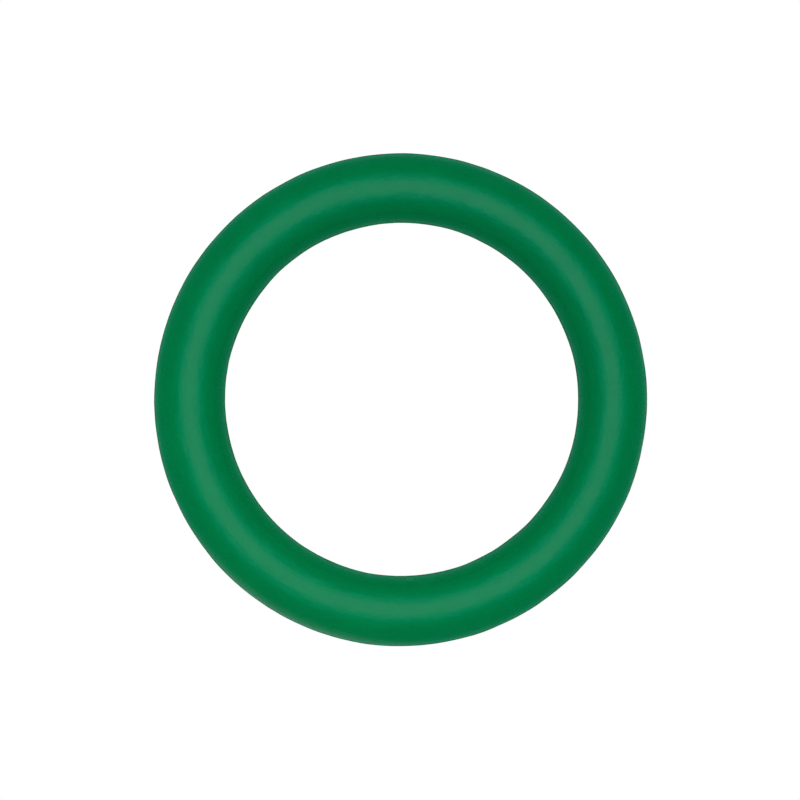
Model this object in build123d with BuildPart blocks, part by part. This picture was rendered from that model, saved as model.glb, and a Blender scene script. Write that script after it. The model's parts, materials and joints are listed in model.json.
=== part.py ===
from build123d import *
import os

# Vibration dampener for a racket: a plain ring of soft rubber with a round section.
#
# The ring is moulded in one shot between two half moulds that meet on its middle plane, so it is
# one piece of one material. It is pressed between the two centre strings of the string bed, over
# one and under the other, and its own springiness holds it there.
#
# Where the mould halves meet, a thin film of rubber squeezes out and is trimmed off. What is left
# is a narrow flat band, the witness line, round the inside and round the outside of the ring. It
# stands a few hundredths of a millimetre proud of the round section.
#
# Frame: origin at the ring's centre, +Z along its axis, so that the ring lies flat on XY.
# Lengths are in millimetres.

# Driving dimensions
outside_diameter = 22.2  # over the outer witness line
inside_diameter = 15.9  # over the inner witness line
witness_height = 0.025  # how far the witness line stands proud of the round section
witness_width = 0.16  # along the ring's axis

# Worked out from them
wall = (outside_diameter - inside_diameter) / 2  # across both witness lines
section_diameter = wall - 2 * witness_height
section_centre_radius = (outside_diameter + inside_diameter) / 4

# damper_ring: the whole object. Its section is a circle crossed by the band of trimmed flash.
with BuildPart() as damper_ring:
    with BuildSketch(Plane.XZ) as section:
        with Locations((section_centre_radius, 0)):
            Circle(section_diameter / 2)
            Rectangle(wall, witness_width)
    revolve(axis=Axis.Z)

damper_ring.part.label = "damper_ring"

os.makedirs("parts", exist_ok=True)
export_step(damper_ring.part, "parts/damper_ring.step")
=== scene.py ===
import json
import math

import bpy
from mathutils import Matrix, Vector, noise


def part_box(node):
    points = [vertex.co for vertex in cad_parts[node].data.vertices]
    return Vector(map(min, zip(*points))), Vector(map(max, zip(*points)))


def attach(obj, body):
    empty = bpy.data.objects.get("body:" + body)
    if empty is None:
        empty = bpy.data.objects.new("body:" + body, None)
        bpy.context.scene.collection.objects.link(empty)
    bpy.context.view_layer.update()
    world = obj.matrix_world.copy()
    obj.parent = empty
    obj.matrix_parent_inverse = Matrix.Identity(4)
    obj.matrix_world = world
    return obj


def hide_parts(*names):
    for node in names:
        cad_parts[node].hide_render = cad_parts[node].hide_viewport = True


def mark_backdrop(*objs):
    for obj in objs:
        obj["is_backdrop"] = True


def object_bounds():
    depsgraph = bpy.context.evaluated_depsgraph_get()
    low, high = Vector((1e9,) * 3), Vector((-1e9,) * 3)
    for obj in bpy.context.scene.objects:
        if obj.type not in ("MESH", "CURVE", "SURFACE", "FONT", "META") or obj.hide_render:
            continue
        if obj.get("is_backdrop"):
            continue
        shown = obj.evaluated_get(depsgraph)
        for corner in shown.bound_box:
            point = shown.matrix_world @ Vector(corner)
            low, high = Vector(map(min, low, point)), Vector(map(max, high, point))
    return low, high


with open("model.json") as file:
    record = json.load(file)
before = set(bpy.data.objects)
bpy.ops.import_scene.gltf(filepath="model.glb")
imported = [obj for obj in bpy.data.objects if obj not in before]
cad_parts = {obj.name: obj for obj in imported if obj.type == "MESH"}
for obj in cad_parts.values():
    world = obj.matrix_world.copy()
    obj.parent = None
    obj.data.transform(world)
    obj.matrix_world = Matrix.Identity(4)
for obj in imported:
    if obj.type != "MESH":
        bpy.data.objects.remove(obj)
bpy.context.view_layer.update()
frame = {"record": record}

# A plain moulded rubber ring, lying on pale paper under a soft light.
# Lengths are in metres, in the CAD frame: the ring's axis is +Z and its centre is the origin.

MM = 0.001

# ---- Sizes taken from the frame ----
ring_low, ring_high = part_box("damper_ring")
mounts = {mount["name"]: mount for mount in frame["record"]["mounts"]}
outside_radius = ring_high.x
inside_radius = mounts["centre_hole"]["dims"]["r_mm"] * MM
section_radius = ring_high.z
ring_radius = (outside_radius + inside_radius) / 2

# ---- The moulded surface ----
STEPS_AROUND = 640
FINE_STEPS = 18  # across each witness line and its shoulders
COARSE_STEPS = 44  # over each half of the section between them
WITNESS_WIDTH = 0.16 * MM
WITNESS_SHOULDER = 0.05 * MM  # the slope on each side of the band
WITNESS_ZONE = 0.20 * MM  # half the width of the zone with fine steps
WITNESS_HEIGHT = (outside_radius - inside_radius) / 2 - section_radius
TRIM_LENGTH = 1.3 * MM  # over which the hand-trimmed witness line changes height
TRIM_CHANGE = 0.45  # how much it changes, against its height
TRIM_SEED = Vector((11.3, 5.1, 2.6))
WAVE_LENGTH = 3.0 * MM  # of the longest undulation of the surface
WAVE_HEIGHT = 0.010 * MM
WAVE_OCTAVES = 5
WAVE_GAIN = 0.66  # height of each octave against the one before
WAVE_SEED = Vector((3.7, 1.9, 8.2))
HOLE_OFFSET = Vector((0.043, 0.013, 0)) * MM  # the hole isn't quite concentric with the outside
MARK_AROUND = math.radians(273)  # a faint raised spot on the inside of the ring
MARK_ABOVE = math.radians(23)  # above the inside equator
MARK_SIZE = (0.28 * MM, 0.52 * MM)  # along the ring and across it
MARK_HEIGHT = 0.015 * MM

# ---- The rubber ----
DEEP_GREEN = (0, 0.134, 0.0372, 1)
LIGHT_GREEN = (0, 0.191, 0.0525, 1)
# painted highlight: the small mark's paler colour, as where it catches the light
MARK_HIGHLIGHT_GREEN = (0.045, 0.19, 0.07, 1)
NOISE_MIDDLE = (0.25, 0.75)  # the range that noise seldom leaves
NOISE_DETAIL = 3
MOTTLING_GAIN = 0.8  # strength of each octave of the noise against the one before
PIGMENT_SIZE = 1.2 * MM  # of the largest blotches of unevenly mixed pigment
PIGMENT_RANGE = (0.34, 0.66)  # on the way from deep green to light green
PAINTED_LIGHT_DRIFT = Vector((-0.11, -0.20, 0)) / ring_radius  # painted light: the colour is a little lighter to the lower left
GLOSS_SIZE = 0.9 * MM  # of the largest patches of uneven gloss
GLOSS_RANGE = (0.12, 0.32)  # of the shader's roughness
GRAIN_SIZE = 0.42 * MM
GRAIN_HEIGHT = 0.018 * MM
GRAIN_GAIN = 0.65
TURNING_WIDTH = 0.26 * MM  # of the marks left by turning the mould
TURNING_LENGTH = 1.1 * MM
TURNING_HEIGHT = 0.013 * MM
TURNING_DETAIL = 2
REFRACTIVE_INDEX = 1.41
REFLECTION_TINT = (0.42, 1, 1, 1)

# ---- Camera ----
CAMERA_DISTANCE = 0.30
CAMERA_SHIFT = Vector((-0.031 * MM, -0.010 * MM, 0))  # the ring isn't quite in the middle
RING_SHARE = 0.6161  # of the picture's width that the ring's outside diameter takes
SENSOR = 36.0
NEAREST_SEEN = 0.01
FURTHEST_SEEN = 10

# ---- Light ----
# One soft light overhead. Its glow fades away from the middle, and its red fades sooner than the rest.
LIGHT_LEAN = math.radians(5.4)  # towards the top of the picture
GLOW = (1.53, 1.92, 1.64)  # brightness at the middle of the light
GLOW_SPREAD = (math.radians(26.6), math.radians(41), math.radians(42))  # where it has fallen to 1/e
GLOW_EDGE = 2.0  # how firm its edge is: 1 is the softest
ROOM = (0.03, 0.31, 0.30)  # brightness of the dim room all round

# ---- Paper ----
PAPER_SIZE = 0.44
PAPER_BOUNCE = (0.08, 0.95, 0.88)  # what it sends back to matt surfaces
NEAR_REFLECTED = (0.26, 0.43, 0.34)  # painted light: what shows of it in the ring's gloss, close by the ring
FAR_REFLECTED = (0.09, 0.43, 0.34)  # and further away
REFLECTED_REACH = (3.2 * MM, 6.0 * MM)  # from the ring's centre line, where the one turns into the other
LIGHT_POOL_REFLECTED = (0.80, 0.56, 0.51)  # painted light: the same in a brighter pool of light, to the lower left
LIGHT_POOL_CENTRE = Vector((-6.5 * MM, -13.0 * MM, ring_low.z))
LIGHT_POOL_EDGE = (8 * MM, 3 * MM)  # from its centre: where it starts, and where it is full
SHADOW_REACH = 4 * MM  # how far the ring's painted contact shadow spreads
SHADOW_LIFT = 3.5  # the painted shadow is lifted and capped at white, as on overexposed paper, so that only the deepest shadow shows
SHADOW_SAMPLES = 16


# ---- Shape ----
def smooth_step(value):
    value = min(max(value, 0.0), 1.0)
    return value * value * (3 - 2 * value)


def section_angles():
    """Angles round the section from the outside equator, with fine steps across both witness lines."""
    zone = WITNESS_ZONE / section_radius
    angles = []
    for equator in (0.0, math.pi):
        angles += [equator - zone + 2 * zone * i / FINE_STEPS for i in range(FINE_STEPS)]
        start = equator + zone
        length = math.pi - 2 * zone
        angles += [start + length * i / COARSE_STEPS for i in range(COARSE_STEPS)]
    return angles


def undulation(point):
    """Shallow waves left by the mould and by shrinking, as a height in metres."""
    height = 0.0
    gain = 1.0
    scale = 1 / WAVE_LENGTH
    for _ in range(WAVE_OCTAVES):
        height += gain * noise.noise(point * scale + WAVE_SEED)
        gain *= WAVE_GAIN
        scale *= 2
    return WAVE_HEIGHT * height


def witness_line(point, section_angle):
    """How far the trimmed band stands proud of the round section. It was trimmed by hand, so it varies."""
    past_edge = (section_radius * abs(math.sin(section_angle)) - WITNESS_WIDTH / 2) / WITNESS_SHOULDER
    flat = Vector((point.x, point.y, 0)) / TRIM_LENGTH
    trim = 1.0 + TRIM_CHANGE * noise.noise(flat + TRIM_SEED)
    return WITNESS_HEIGHT * trim * (1 - smooth_step(past_edge))


def mould_mark(around, section_angle):
    """How far the one small spot on the inside stands proud. It has a flat top and soft edges."""
    along = inside_radius * math.remainder(around - MARK_AROUND, math.tau) / (MARK_SIZE[0] / 2)
    across = section_radius * (math.pi - MARK_ABOVE - section_angle) / (MARK_SIZE[1] / 2)
    return MARK_HEIGHT * math.exp(-(along ** 4 + across ** 4))


def mark_place():
    """The middle of that spot, on the surface."""
    outward = Vector((math.cos(MARK_AROUND), math.sin(MARK_AROUND), 0))
    inward = section_radius * (math.sin(MARK_ABOVE) * Vector((0, 0, 1)) - math.cos(MARK_ABOVE) * outward)
    return ring_radius * outward + inward


def moulded_ring():
    angles = section_angles()
    rows = len(angles)
    points = []
    for i in range(STEPS_AROUND):
        around = math.tau * i / STEPS_AROUND
        outward = Vector((math.cos(around), math.sin(around), 0))
        thinning = outward.dot(HOLE_OFFSET) / 2
        for section_angle in angles:
            normal = outward * math.cos(section_angle) + Vector((0, 0, math.sin(section_angle)))
            thinned = thinning * (1 - math.cos(section_angle))
            base = outward * (ring_radius + thinned) + normal * section_radius
            proud = undulation(base) + witness_line(base, section_angle)
            proud += mould_mark(around, section_angle)
            points.append(base + normal * proud)
    faces = []
    corners = []
    for i in range(STEPS_AROUND):
        ahead = (i + 1) % STEPS_AROUND
        for j in range(rows):
            up = (j + 1) % rows
            faces.append((i * rows + j, ahead * rows + j, ahead * rows + up, i * rows + up))
            low, high = j / rows, (j + 1) / rows
            left, right = i / STEPS_AROUND, (i + 1) / STEPS_AROUND
            corners += [(left, low), (right, low), (right, high), (left, high)]
    mesh = bpy.data.meshes.new("moulded_ring")
    mesh.from_pydata(points, [], faces)
    layer = mesh.uv_layers.new(name="around_and_section")
    for loop, corner in zip(layer.data, corners):
        loop.uv = corner
    mesh.shade_smooth()
    ring = bpy.data.objects.new("moulded_ring", mesh)
    bpy.context.scene.collection.objects.link(ring)
    return ring


# ---- Nodes that the materials and the light share ----
def calculate(tree, kind, operation, *values):
    """The number that a Math or VectorMath node works out from other nodes' outputs and plain values."""
    node = tree.nodes.new(kind)
    node.operation = operation
    for socket, value in zip(node.inputs, values):
        if isinstance(value, bpy.types.NodeSocket):
            tree.links.new(value, socket)
        else:
            socket.default_value = value
    return node.outputs["Value"]


def number(tree, operation, *values):
    return calculate(tree, "ShaderNodeMath", operation, *values)


def measure(tree, operation, *vectors):
    return calculate(tree, "ShaderNodeVectorMath", operation, *vectors)


def map_range(tree, value, from_range, to_range=(0, 1)):
    node = tree.nodes.new("ShaderNodeMapRange")
    for name, limit in zip(("From Min", "From Max", "To Min", "To Max"), (*from_range, *to_range)):
        node.inputs[name].default_value = limit
    tree.links.new(value, node.inputs["Value"])
    return node.outputs["Result"]


def mix_shaders(tree, factor, first, second):
    node = tree.nodes.new("ShaderNodeMixShader")
    tree.links.new(factor, node.inputs["Fac"])
    tree.links.new(first, node.inputs[1])
    tree.links.new(second, node.inputs[2])
    return node.outputs["Shader"]


# ---- Rubber ----
def noise_node(tree, place, size, gain):
    node = tree.nodes.new("ShaderNodeTexNoise")
    node.inputs["Scale"].default_value = 1 / size
    node.inputs["Detail"].default_value = NOISE_DETAIL
    node.inputs["Roughness"].default_value = gain
    tree.links.new(place, node.inputs["Vector"])
    return node.outputs["Fac"]


def turning_marks(tree, place):
    """Noise that is fine across the ring's section and slow along the ring. It closes without a seam."""
    split = tree.nodes.new("ShaderNodeSeparateXYZ")
    tree.links.new(place, split.inputs["Vector"])
    x, y, z = split.outputs
    flat = tree.nodes.new("ShaderNodeCombineXYZ")
    tree.links.new(x, flat.inputs["X"])
    tree.links.new(y, flat.inputs["Y"])
    from_axis = measure(tree, "LENGTH", flat.outputs["Vector"])
    stretched = tree.nodes.new("ShaderNodeCombineXYZ")
    tree.links.new(number(tree, "DIVIDE", from_axis, TURNING_WIDTH), stretched.inputs["X"])
    tree.links.new(number(tree, "DIVIDE", z, TURNING_WIDTH), stretched.inputs["Y"])
    tree.links.new(number(tree, "DIVIDE", x, TURNING_LENGTH), stretched.inputs["Z"])
    marks = tree.nodes.new("ShaderNodeTexNoise")
    marks.noise_dimensions = "4D"
    marks.inputs["Scale"].default_value = 1
    marks.inputs["Detail"].default_value = TURNING_DETAIL
    tree.links.new(stretched.outputs["Vector"], marks.inputs["Vector"])
    tree.links.new(number(tree, "DIVIDE", y, TURNING_LENGTH), marks.inputs["W"])
    return marks.outputs["Fac"]


def bump(tree, height, distance, under=None):
    """A bump map, on top of another one if there is one under it."""
    node = tree.nodes.new("ShaderNodeBump")
    node.inputs["Distance"].default_value = distance
    tree.links.new(height, node.inputs["Height"])
    if under:
        tree.links.new(under, node.inputs["Normal"])
    return node.outputs["Normal"]


def rubber():
    material = bpy.data.materials.new("green_rubber")
    material.use_nodes = True
    tree = material.node_tree
    shader = tree.nodes["Principled BSDF"]
    place = tree.nodes.new("ShaderNodeTexCoord").outputs["Object"]

    # Colour: pigment that isn't quite evenly mixed, and painted light that makes it a little lighter to
    # the lower left
    pigment = noise_node(tree, place, PIGMENT_SIZE, MOTTLING_GAIN)
    mottling = map_range(tree, pigment, NOISE_MIDDLE, PIGMENT_RANGE)
    painted_light_drift = measure(tree, "DOT_PRODUCT", place, PAINTED_LIGHT_DRIFT)
    green = tree.nodes.new("ShaderNodeMix")
    green.data_type = "RGBA"
    green.inputs["A"].default_value = DEEP_GREEN
    green.inputs["B"].default_value = LIGHT_GREEN
    tree.links.new(number(tree, "ADD", mottling, painted_light_drift), green.inputs["Factor"])

    # Painted highlight: the one small mark is painted paler than the rest, as where it catches the light
    from_mark = measure(tree, "DISTANCE", place, mark_place())
    painted_mark_highlight = tree.nodes.new("ShaderNodeMix")
    painted_mark_highlight.data_type = "RGBA"
    painted_mark_highlight.inputs["B"].default_value = MARK_HIGHLIGHT_GREEN
    highlight_edge = (MARK_SIZE[1] / 2, MARK_SIZE[0] / 4)
    tree.links.new(map_range(tree, from_mark, highlight_edge), painted_mark_highlight.inputs["Factor"])
    tree.links.new(green.outputs["Result"], painted_mark_highlight.inputs["A"])
    tree.links.new(painted_mark_highlight.outputs["Result"], shader.inputs["Base Color"])

    # Gloss: satin, a little uneven
    gloss = noise_node(tree, place, GLOSS_SIZE, MOTTLING_GAIN)
    tree.links.new(map_range(tree, gloss, NOISE_MIDDLE, GLOSS_RANGE), shader.inputs["Roughness"])

    # The fine grain of the mould's surface, and the marks that turning it left
    grain = noise_node(tree, place, GRAIN_SIZE, GRAIN_GAIN)
    grained = bump(tree, grain, GRAIN_HEIGHT)
    turned = bump(tree, turning_marks(tree, place), TURNING_HEIGHT, grained)
    tree.links.new(turned, shader.inputs["Normal"])

    shader.inputs["IOR"].default_value = REFRACTIVE_INDEX
    shader.inputs["Specular Tint"].default_value = REFLECTION_TINT
    return material


# ---- Stage ----
def paper():
    """Pale paper, set apart for each kind of ray: glowing white with a painted contact shadow to the
    camera, dim in the ring's gloss, with light painted on it there.
    """
    material = bpy.data.materials.new("pale_paper")
    material.use_nodes = True
    tree = material.node_tree
    tree.nodes.clear()
    place = tree.nodes.new("ShaderNodeTexCoord").outputs["Object"]
    ray = tree.nodes.new("ShaderNodeLightPath")

    def matt(colour):
        surface = tree.nodes.new("ShaderNodeBsdfDiffuse")
        surface.inputs["Color"].default_value = (*colour, 1)
        return surface.outputs["BSDF"]

    # To the camera: glowing plain white, with a painted contact shadow where the ring stands close over it
    openness = tree.nodes.new("ShaderNodeAmbientOcclusion")
    openness.samples = SHADOW_SAMPLES
    openness.inputs["Distance"].default_value = SHADOW_REACH
    lifted_painted_shadow = number(tree, "MULTIPLY", openness.outputs["AO"], SHADOW_LIFT)
    white = tree.nodes.new("ShaderNodeEmission")
    tree.links.new(number(tree, "MINIMUM", lifted_painted_shadow, 1.0), white.inputs["Strength"])

    # In the ring's gloss, painted light on the paper: less red away from the ring, and a painted pool of
    # brighter light in one place
    from_axis = measure(tree, "DISTANCE", place, (0, 0, ring_low.z))
    from_centre_line = number(tree, "ABSOLUTE", number(tree, "SUBTRACT", from_axis, ring_radius))
    away = map_range(tree, from_centre_line, REFLECTED_REACH)
    plain = mix_shaders(tree, away, matt(NEAR_REFLECTED), matt(FAR_REFLECTED))
    from_light_pool = measure(tree, "DISTANCE", place, LIGHT_POOL_CENTRE)
    light_pool = map_range(tree, from_light_pool, LIGHT_POOL_EDGE)
    reflected = mix_shaders(tree, light_pool, plain, matt(LIGHT_POOL_REFLECTED))

    indirect = mix_shaders(tree, ray.outputs["Is Glossy Ray"], matt(PAPER_BOUNCE), reflected)
    seen = mix_shaders(tree, ray.outputs["Is Camera Ray"], indirect, white.outputs["Emission"])
    output = tree.nodes.new("ShaderNodeOutputMaterial")
    tree.links.new(seen, output.inputs["Surface"])
    return material


def floor(top):
    half = PAPER_SIZE / 2
    mesh = bpy.data.meshes.new("floor")
    square = [(-half, -half, top), (half, -half, top), (half, half, top), (-half, half, top)]
    mesh.from_pydata(square, [], [(0, 1, 2, 3)])
    mesh.materials.append(paper())
    sheet = bpy.data.objects.new("floor", mesh)
    bpy.context.scene.collection.objects.link(sheet)
    return sheet


def studio():
    """The soft light and the dim room, as one dome. The camera sees the dome as white as the paper."""
    world = bpy.data.worlds.new("studio")
    world.use_nodes = True
    bpy.context.scene.world = world
    tree = world.node_tree
    tree.nodes.clear()

    direction = tree.nodes.new("ShaderNodeTexCoord").outputs["Generated"]
    towards_light = (0, math.sin(LIGHT_LEAN), math.cos(LIGHT_LEAN))
    away = number(tree, "SUBTRACT", 1.0, measure(tree, "DOT_PRODUCT", direction, towards_light))
    colour = tree.nodes.new("ShaderNodeCombineColor")
    for channel, glow, spread, room in zip(colour.inputs, GLOW, GLOW_SPREAD, ROOM):
        fall = number(tree, "POWER", number(tree, "MULTIPLY", away, 2 / spread ** 2), GLOW_EDGE)
        fading = number(tree, "EXPONENT", number(tree, "MULTIPLY", fall, -1.0))
        tree.links.new(number(tree, "MULTIPLY_ADD", fading, glow, room), channel)

    light = tree.nodes.new("ShaderNodeBackground")
    tree.links.new(colour.outputs["Color"], light.inputs["Color"])
    white = tree.nodes.new("ShaderNodeBackground")
    white.inputs["Color"].default_value = (1, 1, 1, 1)
    to_camera = tree.nodes.new("ShaderNodeLightPath").outputs["Is Camera Ray"]
    seen = mix_shaders(tree, to_camera, light.outputs["Background"], white.outputs["Background"])
    output = tree.nodes.new("ShaderNodeOutputWorld")
    tree.links.new(seen, output.inputs["Surface"])


def camera():
    data = bpy.data.cameras.new("camera")
    picture_width = 2 * outside_radius / RING_SHARE
    data.sensor_width = SENSOR
    data.lens = SENSOR * CAMERA_DISTANCE / picture_width
    data.clip_start = NEAREST_SEEN
    data.clip_end = FURTHEST_SEEN
    view = bpy.data.objects.new("camera", data)
    view.location = CAMERA_SHIFT + Vector((0, 0, CAMERA_DISTANCE))
    bpy.context.scene.collection.objects.link(view)
    bpy.context.scene.camera = view


ring = moulded_ring()
ring.data.materials.append(rubber())
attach(ring, "root")
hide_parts("damper_ring")
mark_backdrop(floor(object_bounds()[0].z))  # the ring lies on its lowest point
studio()
camera()
bpy.context.scene.view_settings.view_transform = "Standard"
